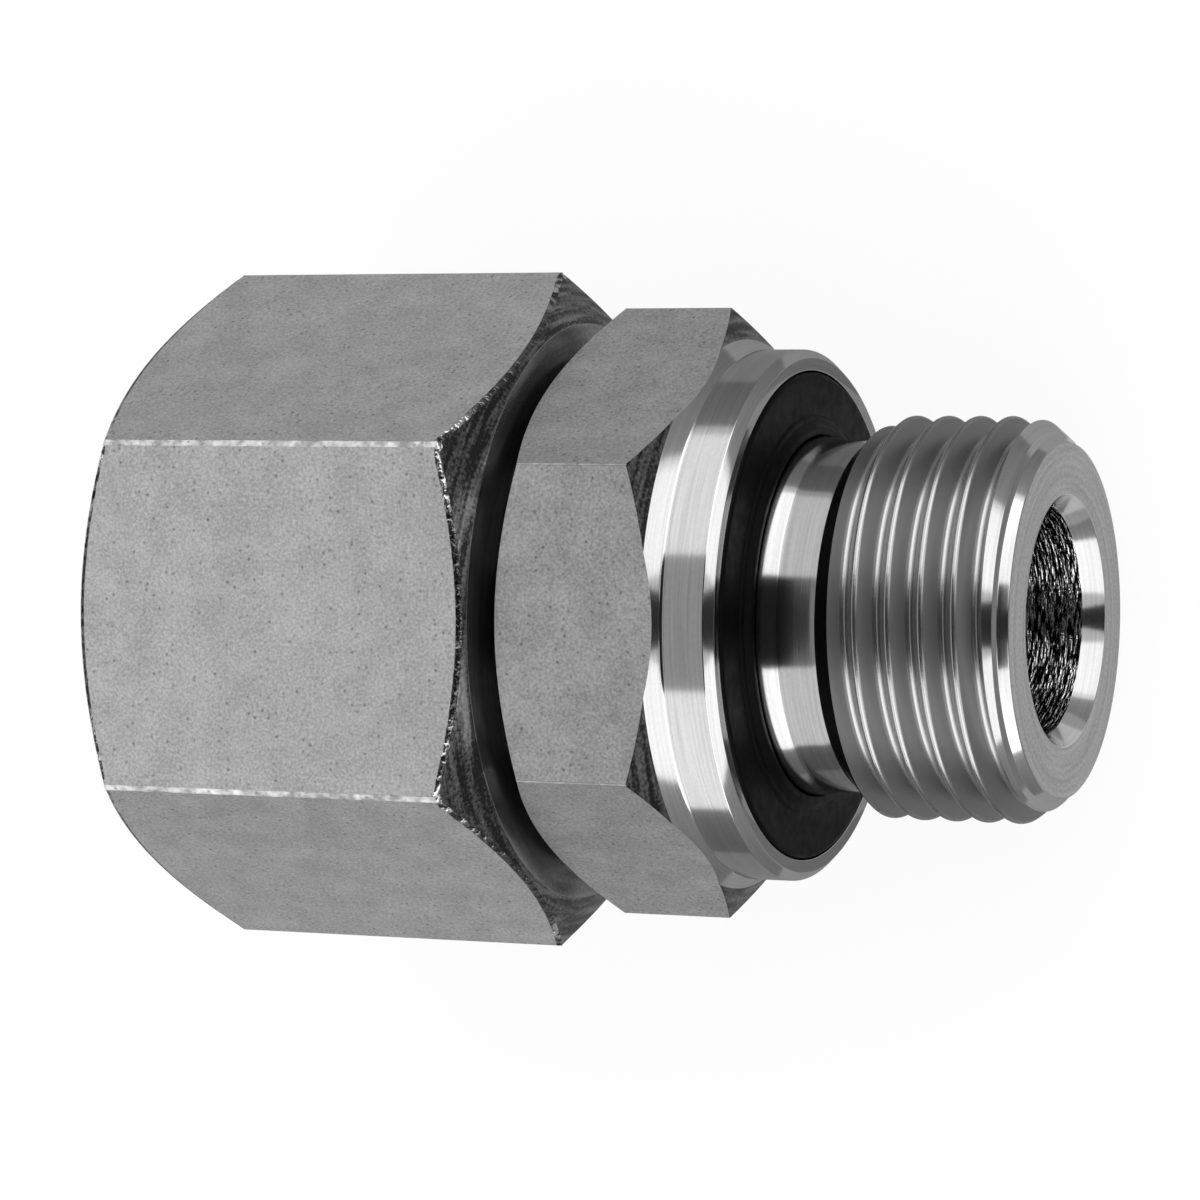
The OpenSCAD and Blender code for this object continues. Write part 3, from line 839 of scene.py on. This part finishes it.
LAMP_POWER = math.pi ** 2 / 4   # watts per square metre, for a lamp of level 1
BOX_DISTANCE = 0.5      # metres
BOX_HEIGHT = 0.56
BOX_LENGTHS = (("left", -0.5, -0.1), ("middle", -0.1, 0.3), ("right", 0.3, 1.6))
BOX_SIDES = (("far", 56, (0.9, 1.75, 0.45)), ("near", -60, (1.1, 1.9, 0.5)))   # angle and levels
CARD_LIFT = 0.0002      # of the table cards above the floor
FLOOR_SIZE = 3.0
FLOOR_GLOW = 0.85       # share of the floor's white that doesn't depend on the lamps
WORLD_LIGHT = 0.85      # level of the world as light

for side, angle, levels in BOX_SIDES:
    for (part, x_from, x_to), level in zip(BOX_LENGTHS, levels):
        soft_box(f"soft box, {side} side, {part}", angle, x_from, x_to, BOX_HEIGHT, level)

studio_floor = nut_low.z * MM
card_z = studio_floor + CARD_LIFT
for name, shade, place, size, lean in (
        ("pale_table_card", "#d0d0d0", (-0.032, 0, card_z), (0.064, 0.024), 0),
        ("middle_table_card_far", "#949494", (-0.032, 0.026, card_z), (0.064, 0.028), 0),
        ("middle_table_card_near", "#949494", (-0.032, -0.026, card_z), (0.064, 0.028), 0),
        ("pale_table_card_right", "#c0c0c0", (0.012, 0, card_z), (0.024, 0.020), 0),
        ("middle_table_card_far_right", "#949494", (0.012, 0.017, card_z), (0.024, 0.014), 0),
        ("middle_table_card_near_right", "#949494", (0.012, -0.017, card_z), (0.024, 0.014), 0),
        ("grey_table_card_far", "#727272", (-0.2575, 0.74, card_z), (0.515, 1.4), 0),
        ("grey_table_card_near", "#6c6c6c", (-0.2575, -0.74, card_z), (0.515, 1.4), 0),
        ("dark_table_card_far", "#686868", (0.012, 0.724, card_z), (0.024, 1.4), 0),
        ("dark_table_card_near", "#686868", (0.012, -0.724, card_z), (0.024, 1.4), 0),
        ("dark_table_card", "#6c6c6c", (0.674, 0, card_z), (1.3, 2.848), 0),
        ("dark_end_card", "#121212", (0.10, -0.002, 0.072), (0.126, 0.036), 90),
        ("dark_roof_card", "#121212", (0.038, -0.0065, 0.14), (0.172, 0.149), 0),
        ("dark_back_card", "#121212", (-0.20, 0, 0.035), (0.096, 0.2), 90)):
    card(name, shade, place, size, lean)
card("grey_air_card", "#d0d0d0", (0, -0.0165, 0.5), (3.0, 0.55), 0, lit=True)

bpy.ops.object.select_all(action="DESELECT")
bpy.ops.mesh.primitive_plane_add(size=FLOOR_SIZE, location=(0, 0, studio_floor))
floor = bpy.context.object
floor.name = "floor"

paper = bpy.data.materials.new("White paper")
paper.use_nodes = True
tree = paper.node_tree
tree.nodes.clear()
part_glow = add(tree, "Math", {0: seen_rays(tree), 1: FLOOR_GLOW}, operation="MULTIPLY")
matte = add(tree, "BsdfDiffuse", {"Color": colour("#f4f4f4")})
glow = add(tree, "Emission", {"Color": (1, 1, 1, 1), "Strength": 1.0})
both = add(tree, "MixShader", {0: part_glow.outputs[0], 1: matte.outputs[0], 2: glow.outputs[0]})
add(tree, "OutputMaterial", {"Surface": both.outputs[0]})
floor.data.materials.append(paper)

world = bpy.data.worlds.new("studio air")
world.use_nodes = True
tree = world.node_tree
tree.nodes.clear()
level = add(tree, "MapRange", {"Value": seen_rays(tree), "To Min": WORLD_LIGHT, "To Max": 1.0})
air = add(tree, "Background", {"Color": (1, 1, 1, 1), "Strength": level.outputs["Result"]})
add(tree, "OutputWorld", {"Surface": air.outputs[0]})
bpy.context.scene.world = world
bpy.context.scene.view_settings.view_transform = "Standard"
print("lamps:", len(bpy.data.lights))
